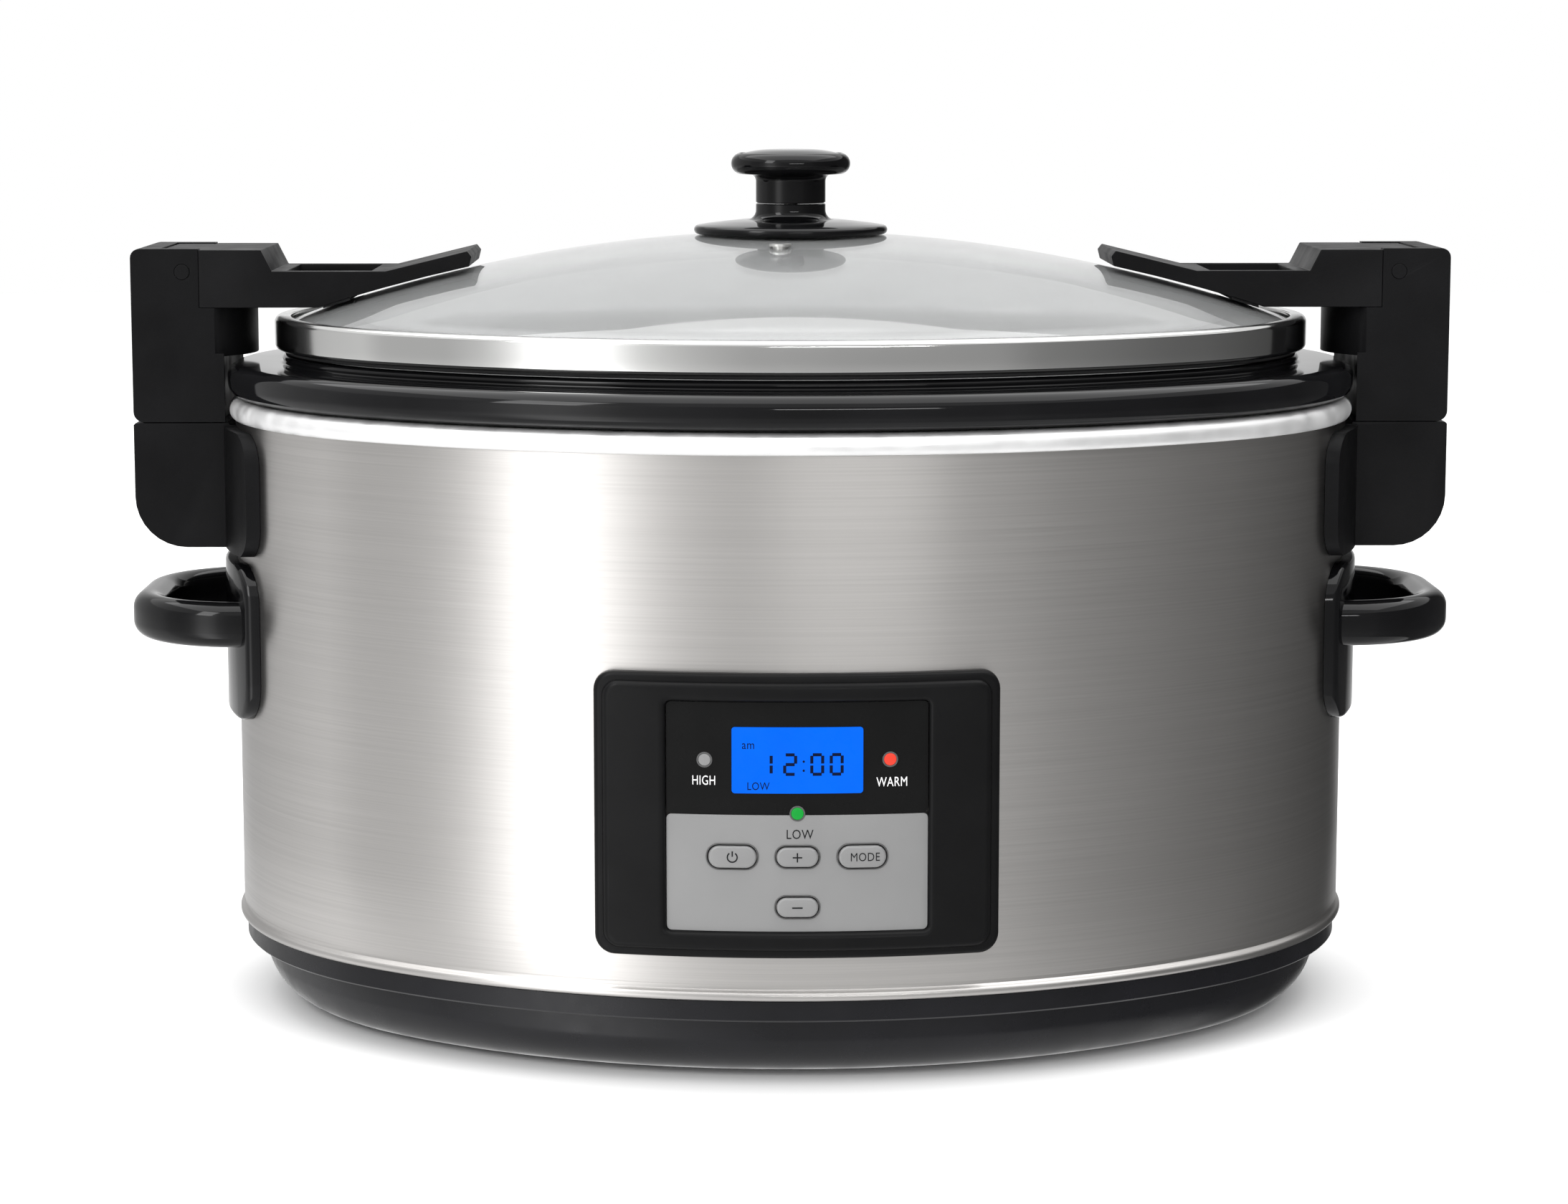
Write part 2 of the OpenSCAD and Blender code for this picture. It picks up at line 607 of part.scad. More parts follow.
module lid_gasket() {
  color([0.25, 0.25, 0.26]) oval_ring() polygon([[-22, 217.4], [-16.2, 217.4], [-16.2, 222.4], [-22, 222.4]]);
}

module knob_base() {
  color(gloss) rotate_extrude($fn = round_fn) polygon(concat(
    [[3.4, 256.7], [29, 255.8]], arc_points(31, 257.3, 1.5, -90, 60, 6),
    [[24, 260.2]], arc_points(15.3, 263.8, 3.5, -90, -180, 5), [[11.7, 266], [3.4, 266]]));
}

module knob_cap() {
  edge = 3.2;
  color(gloss) difference() {
    rotate_extrude($fn = round_fn) polygon(concat(
      [[0, 266.2], [11.5, 266.2], [11.7, 266.6]], arc_points(14.2, 273.6, 2.5, 180, 100, 4),
      arc_points(knob_r - edge, knob_z1 - 1 - edge - 1, edge, -70, 70, 8),
      [[12, knob_z1 - 0.4], [6, knob_z1], [0, knob_z1]]));
    translate([0, 0, 260]) cylinder(r = 2.3, h = 18, $fn = small_fn);
  }
}

module knob_screw() {
  color(steel) {
    translate([0, 0, 248]) cylinder(r = 2.25, h = 28, $fn = small_fn);
    translate([0, 0, 245.4]) cylinder(r = 4.5, h = 2.6, $fn = small_fn);
  }
}

module knob_washer() {
  color(gloss) difference() {
    translate([0, 0, 248.1]) cylinder(r = 18.6, h = 3.6, $fn = round_fn);
    translate([0, 0, 240]) cylinder(r = 2.5, h = 20, $fn = small_fn);
  }
}

module vent_eyelet() {
  color(steel) translate([eyelet[0], eyelet[1], eyelet_z]) difference() {
    union() {
      translate([0, 0, 0.5]) cylinder(r = 3.6, h = 0.8, $fn = small_fn);
      translate([0, 0, -5]) cylinder(r = eyelet_r, h = 6, $fn = small_fn);
    }
    translate([0, 0, -6]) cylinder(r = 1.4, h = 12, $fn = small_fn);
  }
}

base_pan();
feet();
tie_studs();
tie_nuts();
housing_wall();
rim_ring();
heating_liner();
heater_band();
temperature_sensor();
thermal_fuse();
control_bezel();
display_fascia();
button_fascia();
display_window();
led_high();
led_low();
led_warm();
control_board();
board_screws();
tact_switches();
power_board();
power_board_screws();
relay();
transformer();
terminal_block();
cord_gland();
left_handle();
right_handle();
handle_screws();
left_lug();
right_lug();
lug_screws();
left_hinge_pin();
right_hinge_pin();
left_clip_post();
left_clip_arm();
left_arm_pin();
left_clip_pad();
right_clip_post();
right_clip_arm();
right_arm_pin();
right_clip_pad();
crock();
lid_glass();
lid_band();
lid_gasket();
knob_cap();
knob_base();
knob_screw();
knob_washer();
vent_eyelet();
power_button();
plus_button();
minus_button();
mode_button();
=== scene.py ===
import json
import math

import bmesh
import bpy
from mathutils import Matrix, Vector


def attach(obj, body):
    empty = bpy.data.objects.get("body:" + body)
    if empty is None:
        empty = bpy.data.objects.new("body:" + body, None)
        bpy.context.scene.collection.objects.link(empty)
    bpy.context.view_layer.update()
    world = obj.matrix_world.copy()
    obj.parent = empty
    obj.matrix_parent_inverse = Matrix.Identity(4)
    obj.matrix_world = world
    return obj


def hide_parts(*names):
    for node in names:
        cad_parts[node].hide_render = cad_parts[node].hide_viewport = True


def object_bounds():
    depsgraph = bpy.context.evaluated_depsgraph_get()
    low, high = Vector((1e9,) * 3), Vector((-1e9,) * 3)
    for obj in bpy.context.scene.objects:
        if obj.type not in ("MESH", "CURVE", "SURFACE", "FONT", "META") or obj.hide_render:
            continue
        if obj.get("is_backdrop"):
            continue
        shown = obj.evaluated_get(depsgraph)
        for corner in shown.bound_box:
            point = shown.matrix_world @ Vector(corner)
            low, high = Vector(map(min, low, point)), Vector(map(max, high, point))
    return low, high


MM = 0.001
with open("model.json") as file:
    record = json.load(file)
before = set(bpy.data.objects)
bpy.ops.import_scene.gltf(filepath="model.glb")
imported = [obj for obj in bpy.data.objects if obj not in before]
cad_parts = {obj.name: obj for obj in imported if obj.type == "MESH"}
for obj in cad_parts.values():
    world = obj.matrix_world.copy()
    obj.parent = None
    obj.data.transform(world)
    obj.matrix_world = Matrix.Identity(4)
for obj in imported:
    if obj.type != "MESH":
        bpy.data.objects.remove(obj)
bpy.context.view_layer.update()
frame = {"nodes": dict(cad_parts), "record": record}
CAD = frame["nodes"]
SLOT_OF = {s["node"]: s["material_slot"] for s in frame["record"]["subparts"]}

# ---------------------------------------------------------------- outline of the body
# Four-centred oval in millimetres: two end arcs and two side arcs that meet tangentially.
HALF_A, HALF_B, ARC = 186.5, 148.0, math.radians(52)
_k = (1 - math.sin(ARC)) / math.cos(ARC)
END_R = (HALF_B - HALF_A * _k) / (1 - _k)
END_C = HALF_A - END_R
SIDE_R = END_R + END_C / math.cos(ARC)
SIDE_C = END_C * math.tan(ARC)
PANEL_Z = 86.0
PANEL_SIZE, RECESS_SIZE = (124, 88), (80, 71)


def oval_point(t, offset):
    """Point of the oval, offset outwards, where the outward normal points at angle t."""
    c, s = math.cos(t), math.sin(t)
    if abs(s) < math.sin(ARC):
        return math.copysign(END_C, c) + (END_R + offset) * c, (END_R + offset) * s
    return (SIDE_R + offset) * c, -math.copysign(SIDE_C, s) + (SIDE_R + offset) * s


def front_y(x, offset):
    """Depth of the curved front face at x, offset outwards."""
    return SIDE_C - math.sqrt((SIDE_R + offset) ** 2 - x * x)


def end_x(y, offset):
    """Distance from the centre of the curved end face at y, offset outwards."""
    return END_C + math.sqrt((END_R + offset) ** 2 - y * y)


def arc(cx, cy, r, start, stop, n):
    return [
        (
            cx + r * math.cos(math.radians(start + (stop - start) * i / n)),
            cy + r * math.sin(math.radians(start + (stop - start) * i / n)),
        )
        for i in range(n + 1)
    ]


def rounded_rect(w, h, r, n=8, cx=0.0, cy=0.0):
    return (
        arc(cx + w / 2 - r, cy + h / 2 - r, r, 0, 90, n)
        + arc(cx - w / 2 + r, cy + h / 2 - r, r, 90, 180, n)
        + arc(cx - w / 2 + r, cy - h / 2 + r, r, 180, 270, n)
        + arc(cx + w / 2 - r, cy - h / 2 + r, r, 270, 360, n)
    )


# ---------------------------------------------------------------- materials


def node(tree, kind, **values):
    n = tree.nodes.new(kind)
    for key, value in values.items():
        if key in n.inputs:
            n.inputs[key].default_value = value
        else:
            setattr(n, key, value)
    return n


def noise(tree, coords, scale, stretch=(1, 1, 1), detail=3.0):
    mapping = node(tree, "ShaderNodeMapping")
    mapping.inputs["Scale"].default_value = stretch
    tree.links.new(coords, mapping.inputs["Vector"])
    n = node(tree, "ShaderNodeTexNoise", Scale=scale, Detail=detail)
    tree.links.new(mapping.outputs["Vector"], n.inputs["Vector"])
    return n.outputs["Fac"]


def spread(tree, value, low, high, near=0.3, far=0.7):
    n = node(tree, "ShaderNodeMapRange")
    for key, number in (("From Min", near), ("From Max", far), ("To Min", low), ("To Max", high)):
        n.inputs[key].default_value = number
    tree.links.new(value, n.inputs["Value"])
    return n.outputs["Result"]


def blend_colours(tree, factor, first, second):
    n = node(tree, "ShaderNodeMix", data_type="RGBA")
    n.inputs[6].default_value = (*first, 1)
    n.inputs[7].default_value = (*second, 1)
    tree.links.new(factor, n.inputs["Factor"])
    return n.outputs[2]


def surface(
    name,
    colour,
    rough,
    metal=0.0,
    vary=0.1,
    patch=40.0,
    stretch=(1, 1, 1),
    rough_vary=0.06,
    grain=900.0,
    grain_stretch=(1, 1, 1),
    relief=0.05,
    edge_highlight=0.0,
    **sockets,
):
    """Procedural finish: cloudy colour, uneven gloss, fine relief and, if asked, a painted highlight that
    makes sharp edges paler.
    """
    m = bpy.data.materials.new(name)
    m.use_nodes = True
    tree = m.node_tree
    shader = tree.nodes["Principled BSDF"]
    coords = node(tree, "ShaderNodeTexCoord").outputs["Object"]
    clouds = noise(tree, coords, patch, stretch)
    dark = [c * (1 - vary) for c in colour]
    light = [min(1.0, c * (1 + vary)) for c in colour]
    paint = blend_colours(tree, spread(tree, clouds, 0, 1), dark, light)
    # Painted highlight: edges that pointiness finds sharp turn paler, up to the given amount.
    if edge_highlight:
        edge = node(tree, "ShaderNodeNewGeometry").outputs["Pointiness"]
        edge_highlight_mask = spread(tree, edge, 0, edge_highlight, 0.52, 0.6)
        mixed = node(tree, "ShaderNodeMix", data_type="RGBA")
        tree.links.new(edge_highlight_mask, mixed.inputs["Factor"])
        tree.links.new(paint, mixed.inputs[6])
        mixed.inputs[7].default_value = (*[min(1.0, c * 3 + 0.05) for c in colour], 1)
        paint = mixed.outputs[2]
    tree.links.new(paint, shader.inputs["Base Color"])
    smears = noise(tree, coords, patch * 2.3, stretch, 5.0)
    tree.links.new(spread(tree, smears, rough - rough_vary, rough + rough_vary), shader.inputs["Roughness"])
    if relief:
        bump = node(tree, "ShaderNodeBump", Strength=relief, Distance=0.0002)
        tree.links.new(noise(tree, coords, grain, grain_stretch), bump.inputs["Height"])
        tree.links.new(bump.outputs["Normal"], shader.inputs["Normal"])
    shader.inputs["Metallic"].default_value = metal
    for key, value in sockets.items():
        shader.inputs[key.replace("_", " ")].default_value = value
    return m


def brushed(name, colour, rough, lines=1500.0, anisotropy=0.75):
    """Metal brushed round its vertical axis, so each highlight spreads up and down."""
    m = surface(
        name, colour, rough, metal=1.0, vary=0.05, patch=9.0, stretch=(1, 1, 190), rough_vary=0.03,
        grain=lines, grain_stretch=(0.012, 0.012, 1), relief=0.06, Anisotropic=anisotropy,
        Anisotropic_Rotation=0.25,
    )
    tree = m.node_tree
    tangent = node(tree, "ShaderNodeTangent", direction_type="RADIAL", axis="Z")
    tree.links.new(tangent.outputs["Tangent"], tree.nodes["Principled BSDF"].inputs["Tangent"])
    return m


def woven(name, colour):
    m = surface(name, colour, 0.85, vary=0.12, patch=90.0, relief=0)
    tree = m.node_tree
    coords = node(tree, "ShaderNodeTexCoord").outputs["Object"]
    threads = node(tree, "ShaderNodeTexWave", Scale=220.0, Distortion=1.2, bands_direction="DIAGONAL")
    tree.links.new(coords, threads.inputs["Vector"])
    bump = node(tree, "ShaderNodeBump", Strength=0.6, Distance=0.0004)
    tree.links.new(threads.outputs["Fac"], bump.inputs["Height"])
    tree.links.new(bump.outputs["Normal"], tree.nodes["Principled BSDF"].inputs["Normal"])
    return m


def glowing(name, colour, rough, strength, body=0.15, gloss=0.2):
    """Lit plastic: the glow comes from the same colour, a little uneven like a diffuser sheet."""
    m = surface(
        name, [c * body for c in colour], rough, vary=0.06, patch=120.0, relief=0.02, Specular_IOR_Level=gloss
    )
    tree = m.node_tree
    shader = tree.nodes["Principled BSDF"]
    coords = node(tree, "ShaderNodeTexCoord").outputs["Object"]
    glow = blend_colours(
        tree, spread(tree, noise(tree, coords, 60.0), 0, 1), [c * 0.94 for c in colour], colour
    )
    tree.links.new(glow, shader.inputs["Emission Color"])
    shader.inputs["Emission Strength"].default_value = strength
    return m


MATERIALS = {
    "base_plastic": surface(
        "base_plastic", (0.006, 0.006, 0.008), 0.3, vary=0.2, relief=0.06, grain=1500.0,
        Specular_IOR_Level=0.3,
    ),
    "rubber": surface("rubber", (0.02, 0.02, 0.021), 0.8, vary=0.25, relief=0.3, grain=600.0),
    # zinc gets a painted highlight on its sharp edges.
    "zinc": surface("zinc", (0.62, 0.62, 0.6), 0.35, metal=1.0, vary=0.12, patch=180.0, edge_highlight=0.2),
    "brushed_steel": brushed("brushed_steel", (0.56, 0.545, 0.53), 0.33),
    "rim_finish": surface(
        "rim_finish", (0.93, 0.93, 0.93), 0.42, metal=0.75, vary=0.05, patch=60.0, rough_vary=0.12,
        relief=0.12, grain=300.0,
    ),
    "liner_metal": brushed("liner_metal", (0.7, 0.7, 0.7), 0.38, 700.0, 0.4),
    "heater_tape": woven("heater_tape", (0.62, 0.56, 0.46)),
    "bezel_plastic": surface(
        "bezel_plastic", (0.005, 0.005, 0.0053), 0.36, vary=0.15, relief=0.08, grain=2500.0,
        Specular_IOR_Level=0.12,
    ),
    "display_gloss": surface(
        "display_gloss", (0.006, 0.006, 0.006), 0.26, vary=0.1, relief=0.01, Specular_IOR_Level=0.1
    ),
    "silver_paint": surface(
        "silver_paint", (0.25, 0.25, 0.25), 0.45, metal=0.3, vary=0.05, patch=25.0, relief=0.06, grain=5000.0
    ),
    "lcd_blue": glowing("lcd_blue", (0.0, 0.155, 1.0), 0.3, 0.92, 0.1, 0.05),
    "lens_grey": glowing("lens_grey", (0.42, 0.42, 0.42), 0.25, 0.2, 0.4),
    "lens_green": glowing("lens_green", (0.01, 0.42, 0.05), 0.25, 0.8),
    "lens_red": glowing("lens_red", (1.0, 0.07, 0.04), 0.25, 0.85),
    "circuit_board": surface("circuit_board", (0.03, 0.22, 0.09), 0.4, vary=0.3, patch=260.0, relief=0.2),
    "switch_black": surface("switch_black", (0.03, 0.03, 0.03), 0.5, vary=0.2),
    "relay_blue": surface("relay_blue", (0.04, 0.14, 0.42), 0.4, vary=0.1),
    "winding": woven("winding", (0.55, 0.4, 0.08)),
    "terminal_white": surface("terminal_white", (0.75, 0.74, 0.68), 0.5, vary=0.08),
    "gloss_black": surface(
        "gloss_black", (0.003, 0.003, 0.0034), 0.08, vary=0.2, rough_vary=0.02, relief=0.01,
        Specular_IOR_Level=0.25,
    ),
    # clip_plastic gets a faint painted highlight on its sharp edges.
    "clip_plastic": surface(
        "clip_plastic", (0.0045, 0.0045, 0.005), 0.44, vary=0.25, relief=0.22, grain=1600.0, edge_highlight=0.04,
        Specular_IOR_Level=0.1,
    ),
    "crock_glaze": surface(
        "crock_glaze", (0.004, 0.004, 0.0045), 0.07, vary=0.3, patch=30.0, rough_vary=0.02, relief=0.02,
        grain=120.0, Specular_IOR_Level=0.25,
    ),
    "lid_glass": surface(
        "lid_glass", (0.72, 0.73, 0.73), 0.035, vary=0.03, rough_vary=0.015, relief=0.0,
        Transmission_Weight=0.82, IOR=1.5,
    ),
    "polished_steel": surface(
        "polished_steel", (0.66, 0.66, 0.65), 0.12, metal=1.0, vary=0.04, patch=12.0, rough_vary=0.05,
        relief=0.03, grain=200.0,
    ),
    "print_white": surface("print_white", (0.8, 0.8, 0.8), 0.5, vary=0.06),
    "print_dark": surface("print_dark", (0.012, 0.012, 0.013), 0.5, vary=0.15, Specular_IOR_Level=0.1),
    "print_lcd": surface("print_lcd", (0.002, 0.006, 0.03), 0.5, vary=0.15, Specular_IOR_Level=0.05),
    "outline_grey": surface("outline_grey", (0.09, 0.09, 0.09), 0.4, metal=0.3, vary=0.1),
}

# ---------------------------------------------------------------- mesh helpers


def finish_mesh(bm, name, material, body, replaced=(), sharp=35.0):
    bmesh.ops.recalc_face_normals(bm, faces=bm.faces)
    mesh = bpy.data.meshes.new(name)
    bm.to_mesh(mesh)
    bm.free()
    mesh.shade_smooth()
    mesh.set_sharp_from_angle(angle=math.radians(sharp))
    mesh.materials.append(MATERIALS[material])
    obj = bpy.data.objects.new(name, mesh)
    bpy.context.scene.collection.objects.link(obj)
    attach(obj, body)
    if replaced:
        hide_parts(*replaced)
    return obj


RING_STEPS, TURN_STEPS, DOME_STEPS = 320, 96, 192


def sweep_ring(bm, profile, closed=True):
    """Sweeps a profile of (offset, height) points in millimetres round the oval."""
    rings = []
    for offset, z in profile:
        ring = []
        for i in range(RING_STEPS):
            x, y = oval_point(2 * math.pi * i / RING_STEPS, offset)
            ring.append(bm.verts.new((x * MM, y * MM, z * MM)))
        rings.append(ring)
    count = len(profile)
    for j in range(count if closed else count - 1):
        a, b = rings[j], rings[(j + 1) % count]
        for i in range(RING_STEPS):
            k = (i + 1) % RING_STEPS
            bm.faces.new((a[i], a[k], b[k], b[i]))
    return rings


def ring_piece(name, profile, material, body, replaced=(), sharp=35.0):
    bm = bmesh.new()
    sweep_ring(bm, profile)
    return finish_mesh(bm, name, material, body, replaced, sharp)


def turned_piece(name, profile, material, body, replaced=()):
    """Turns a closed profile of (radius, height) points in millimetres round the vertical axis."""
    bm = bmesh.new()
    angles = [2 * math.pi * i / TURN_STEPS for i in range(TURN_STEPS)]
    rings = []
    for r, z in profile:
        if r < 1e-6:
            rings.append([bm.verts.new((0, 0, z * MM))] * TURN_STEPS)
        else:
            rings.append([bm.verts.new((r * MM * math.cos(t), r * MM * math.sin(t), z * MM)) for t in angles])
    for j in range(len(rings)):
        a, b = rings[j], rings[(j + 1) % len(rings)]
        for i in range(TURN_STEPS):
            k = (i + 1) % TURN_STEPS
            corners = []
            for v in (a[i], a[k], b[k], b[i]):
                if v not in corners:
                    corners.append(v)
            if len(corners) > 2:
                bm.faces.new(corners)
    return finish_mesh(bm, name, material, body, replaced)


def slab(bm, outline, depth0, depth1, bevel=0.0, segments=3, holes=()):
    """Flat plate from an outline of (across, up) points, between two depths, outer edges rounded."""
    loops = [list(outline)] + [list(h) for h in holes]
    front, edges = [], []
    for loop in loops:
        verts = [bm.verts.new((u, -depth1, v)) for u, v in loop]
        loop_edges = [bm.edges.new((verts[i], verts[(i + 1) % len(verts)])) for i in range(len(verts))]
        front.append(verts)
        edges += loop_edges
    if holes:
        faces = bmesh.ops.triangle_fill(bm, edges=edges, use_beauty=True)["geom"]
        faces = [f for f in faces if isinstance(f, bmesh.types.BMFace)]
    else:
        faces = [bm.faces.new(front[0])]
    grown = bmesh.ops.extrude_face_region(bm, geom=faces)["geom"]
    moved = [g for g in grown if isinstance(g, bmesh.types.BMVert)]
    bmesh.ops.translate(bm, verts=moved, vec=(0, depth1 - depth0, 0))
    if bevel:
        rim = [e for e in edges if e.is_valid]
        bmesh.ops.bevel(bm, geom=rim, offset=bevel, segments=segments, profile=0.5, affect="EDGES")


def cut_strips(bm, axis, low, high, step):
    """Slices the mesh with parallel planes, so that it can bend."""
    at = low
    while at < high:
        co = [0.0, 0.0, 0.0]
        no = [0.0, 0.0, 0.0]
        co[axis], no[axis] = at, 1.0
        geom = bm.verts[:] + bm.edges[:] + bm.faces[:]
        bmesh.ops.bisect_plane(bm, geom=geom, plane_co=co, plane_no=no, dist=1e-5)
        at += step


def bend_to_front(bm, step=2.5):
    """Flat plate (x, -offset, z) in millimetres to the curved front, in metres."""
    xs = [v.co.x for v in bm.verts]
    cut_strips(bm, 0, math.ceil(min(xs) / step) * step, max(xs), step)
    for v in bm.verts:
        v.co = Vector((v.co.x, front_y(v.co.x, -v.co.y), v.co.z)) * MM


def front_piece(name, outline, off0, off1, material, bevel, holes):
    bm = bmesh.new()
    slab(bm, outline, off0, off1, bevel, 3, holes)
    bend_to_front(bm)
    return finish_mesh(bm, name, material, "base")


def stroke(points, width):
    """Outline of a line of even width through points."""
    left, right = [], []
    for i, p in enumerate(points):
        a = points[max(i - 1, 0)]
        b = points[min(i + 1, len(points) - 1)]
        d = Vector((b[0] - a[0], b[1] - a[1])).normalized() * width / 2
        left.append((p[0] - d.y, p[1] + d.x))
        right.append((p[0] + d.y, p[1] - d.x))
    return left + right[::-1]


def print_on_front(name, outlines, off, material, body="base"):
    bm = bmesh.new()
    for outline in outlines:
        slab(bm, outline, off - 0.1, off + 0.05)
    bend_to_front(bm)
    return finish_mesh(bm, name, material, body, sharp=20.0)


LETTER_GAP, LETTER_WIDTH = 1.06, 0.84


def lettering(name, text, x, z, height, off, material, body="base", width=LETTER_WIDTH):
    """Printed word centred at (x, z), its capitals height tall, in millimetres."""
    curve = bpy.data.curves.new(name, "FONT")
    curve.body = text
    curve.align_x = "CENTER"
    curve.resolution_u = 3
    curve.space_character = LETTER_GAP
    holder = bpy.data.objects.new(name + ".curve", curve)
    bpy.context.scene.collection.objects.link(holder)
    bpy.context.view_layer.update()
    flat = bpy.data.meshes.new_from_object(holder.evaluated_get(bpy.context.evaluated_depsgraph_get()))
    bpy.data.objects.remove(holder)
    bm = bmesh.new()
    bm.from_mesh(flat)
    bpy.data.meshes.remove(flat)
    bmesh.ops.remove_doubles(bm, verts=bm.verts, dist=1e-5)
    low = min(v.co.y for v in bm.verts)
    tall = max(v.co.y for v in bm.verts) - low
    scale = height / tall
    for v in bm.verts:
        v.co = Vector((x + v.co.x * scale * width, -(off + 0.05), z + (v.co.y - low - tall / 2) * scale))
    grown = bmesh.ops.extrude_face_region(bm, geom=bm.faces[:])["geom"]
    moved = [g for g in grown if isinstance(g, bmesh.types.BMVert)]
    bmesh.ops.translate(bm, verts=moved, vec=(0, 0.15, 0))
    bend_to_front(bm)
    return finish_mesh(bm, name, material, body, sharp=20.0)


def softened(cad_name, width, body, segments=3):
    """The CAD node's own shape with its sharp edges rounded as a moulding's are."""
    bm = bmesh.new()
    bm.from_mesh(CAD[cad_name].data)
    bmesh.ops.remove_doubles(bm, verts=bm.verts, dist=1e-6)
    bmesh.ops.dissolve_limit(bm, angle_limit=math.radians(1.5), verts=bm.verts, edges=bm.edges)
    obj = finish_mesh(bm, cad_name + ".moulded", SLOT_OF[cad_name], body, (cad_name,))
    rounding = obj.modifiers.new("rounding", "BEVEL")
    rounding.width = width * MM
    rounding.segments = segments
    rounding.limit_method = "ANGLE"
    rounding.angle_limit = math.radians(35)
    rounding.harden_normals = True
    rounding.use_clamp_overlap = True
    return obj


# ---------------------------------------------------------------- housing

for cad_name, obj in CAD.items():
    obj.data.materials.clear()
    obj.data.materials.append(MATERIALS[SLOT_OF[cad_name]])

BEAD_R, BEAD_Z = 1.6, 29.5
ring_piece(
    "housing_wall.sheet",
    [(-0.8, 28)]
    + arc(-0.3, BEAD_Z, BEAD_R, -70, 70, 10)
    + [(-0.25, 31.6), (-0.3, 32.4), (-0.15, 33.0), (0, 33.3)]
    + [(0, 33.3 + 162.9 * i / 6) for i in range(1, 7)]
    + [(-0.8, 196.4)],
    "brushed_steel", "base", ("housing_wall",), 30,
)
ring_piece(
    "rim_ring.roll",
    [(-6, 202.6)] + arc(-1.9, 198.7, 3.9, 90, -45, 18) + [(0.3, 195.94), (0.3, 197.4), (-6, 197.4)],
    "rim_finish", "base", ("rim_ring",), 60,
)


def bowl_curve(run, rise, cx, cz, start, stop, n):
    return [
        (cx + run * math.cos(math.radians(start + (stop - start) * i / n)),
         cz + rise * math.sin(math.radians(start + (stop - start) * i / n)))
        for i in range(n + 1)
    ]


bm = bmesh.new()
sweep_ring(
    bm,
    [(-3.5, 27.9), (-1.4, 27.9), (-1, 27.5), (-1, 21.6), (-1.6, 21), (-7.4, 21)]
    + bowl_curve(15, 19.8, -22, 21, -20, -90, 16)
    + [(-28, 1.2), (-28, 3.7)]
    + bowl_curve(12.5, 19.8, -22, 23.5, -90, -20, 10)
    + [(-3.5, 23.5)],
)
finish_mesh(bm, "base_pan.skirt", "base_plastic", "base", ("base_pan",), 30)

# Floor of the base pan, with its air slots
bm = bmesh.new()
floor_outline = [oval_point(2 * math.pi * i / 120, -27.5) for i in range(120)]
slots = [rounded_rect(3, 56, 1.45, 4, i * 9, 0) for i in range(-4, 5)]
slab(bm, floor_outline, -3.6, -1.25, 0, 1, slots)
bm.transform(Matrix(((1, 0, 0, 0), (0, 0, 1, 0), (0, 1, 0, 0), (0, 0, 0, 1))))
bm.transform(Matrix.Scale(MM, 4))
finish_mesh(bm, "base_pan.floor", "base_plastic", "base")

# ---------------------------------------------------------------- crock and lid

bm = bmesh.new()
crock_profile = (
    [(-54, 46)]
    + arc(-48, 68, 22, -90, 0, 12)
    + [(-26, 202.4)]
    + [(-25.4, 203)]
    + arc(-2.2, 207.5, 4.5, -90, 0, 8)
    + arc(-2.2, 209.5, 4.5, 0, 90, 8)
    + [(-14.6, 214.0)]
    + arc(-15.4, 214.9, 0.9, -90, -170, 4)
    + arc(-17.6, 215.4, 1.6, 0, 90, 6)
    + arc(-23, 214.6, 2.4, 90, 170, 6)
    + [(-31.4, 204.5), (-32, 202.0)]
    + arc(-50, 72, 18, 0, -90, 10)
    + [(-54, 54)]
)
crock_rings = sweep_ring(bm, crock_profile, closed=False)
bm.faces.new(crock_rings[0][::-1])
bm.faces.new(crock_rings[-1])
finish_mesh(bm, "crock.glazed", "crock_glaze", "crock_body", ("crock",), 40)

DOME_Z, DOME_RISE, GLASS_OFF, GLASS_T, KNOB_HOLE_R = 256.5, 29.9, -16.0, 4.0, 3.3


def dome_ring(bm, share, drop, edge_in=0.0):
    """Ring of the dome at a share of the way out; share None is the knob screw's hole."""
    ring = []
    for i in range(DOME_STEPS):
        t = 2 * math.pi * i / DOME_STEPS
        if share is None:
            x, y, f = KNOB_HOLE_R * math.cos(t), KNOB_HOLE_R * math.sin(t), 0.0
        else:
            f = share
            x, y = (c * f for c in oval_point(t, GLASS_OFF - edge_in))
        ring.append(bm.verts.new((x * MM, y * MM, (DOME_Z - DOME_RISE * f * f - drop) * MM)))
    return ring


bm = bmesh.new()
shares = [None] + [0.06 + 0.94 * j / 22 for j in range(23)]
top = [dome_ring(bm, s, 0.0) for s in shares[:-1]] + [dome_ring(bm, 1.0, 0.5, 0.1)]
edge = [dome_ring(bm, 1.0, 2.0)]
low = [dome_ring(bm, 1.0, 3.6, 0.1)] + [dome_ring(bm, s, GLASS_T) for s in shares[:-1][::-1]]
loops = top + edge + low
for j in range(len(loops)):
    a, b = loops[j], loops[(j + 1) % len(loops)]
    for i in range(DOME_STEPS):
        k = (i + 1) % DOME_STEPS
        bm.faces.new((a[i], a[k], b[k], b[i]))
finish_mesh(bm, "lid_glass.dome", "lid_glass", "lid", ("lid_glass",), 50)

